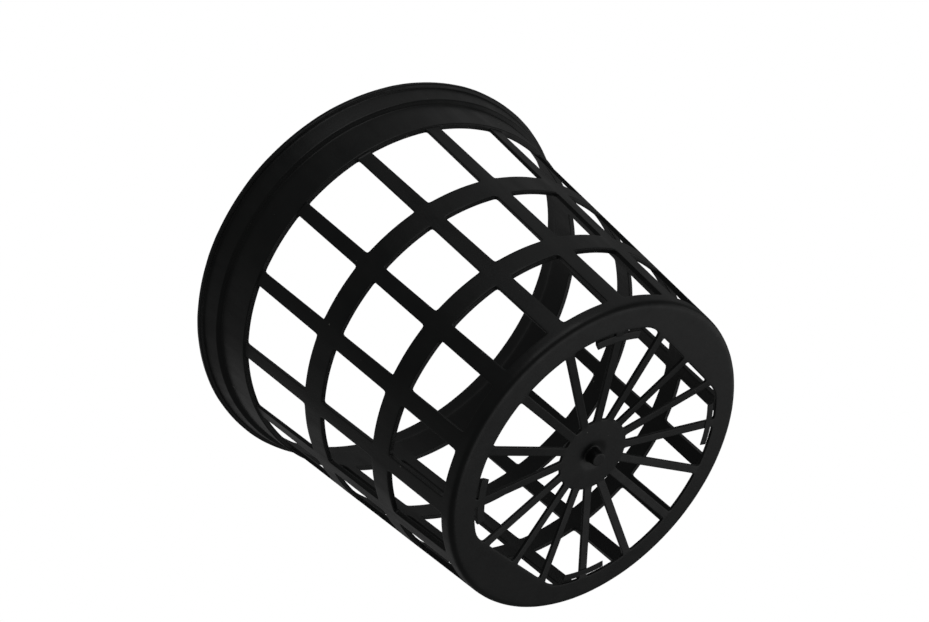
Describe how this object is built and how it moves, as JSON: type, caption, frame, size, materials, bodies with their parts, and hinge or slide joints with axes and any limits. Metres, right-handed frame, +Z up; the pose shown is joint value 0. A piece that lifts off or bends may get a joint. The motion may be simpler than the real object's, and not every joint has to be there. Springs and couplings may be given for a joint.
{
  "type": "hydroponic net pot",
  "caption": "Tapered round net pot with slotted sides, ringed collar, lipped rim and an open spoked base that lets roots and water through.",
  "frame": {"origin": "centre of the flat underside of the base ring, which the upright pot stands on", "axes": "+Z up along the pot's axis, from the base to the mouth; +X along the middle of one of the sixteen equal spokes and bars, and +Y at right angles to it, through the middle of a flat of the floor opening"},
  "size_m": [0.08, 0.08, 0.0674],
  "materials": {
    "body": "satin"
  },
  "bodies": {
    "root": {"net_pot": "body"}
  },
  "joints": []
}
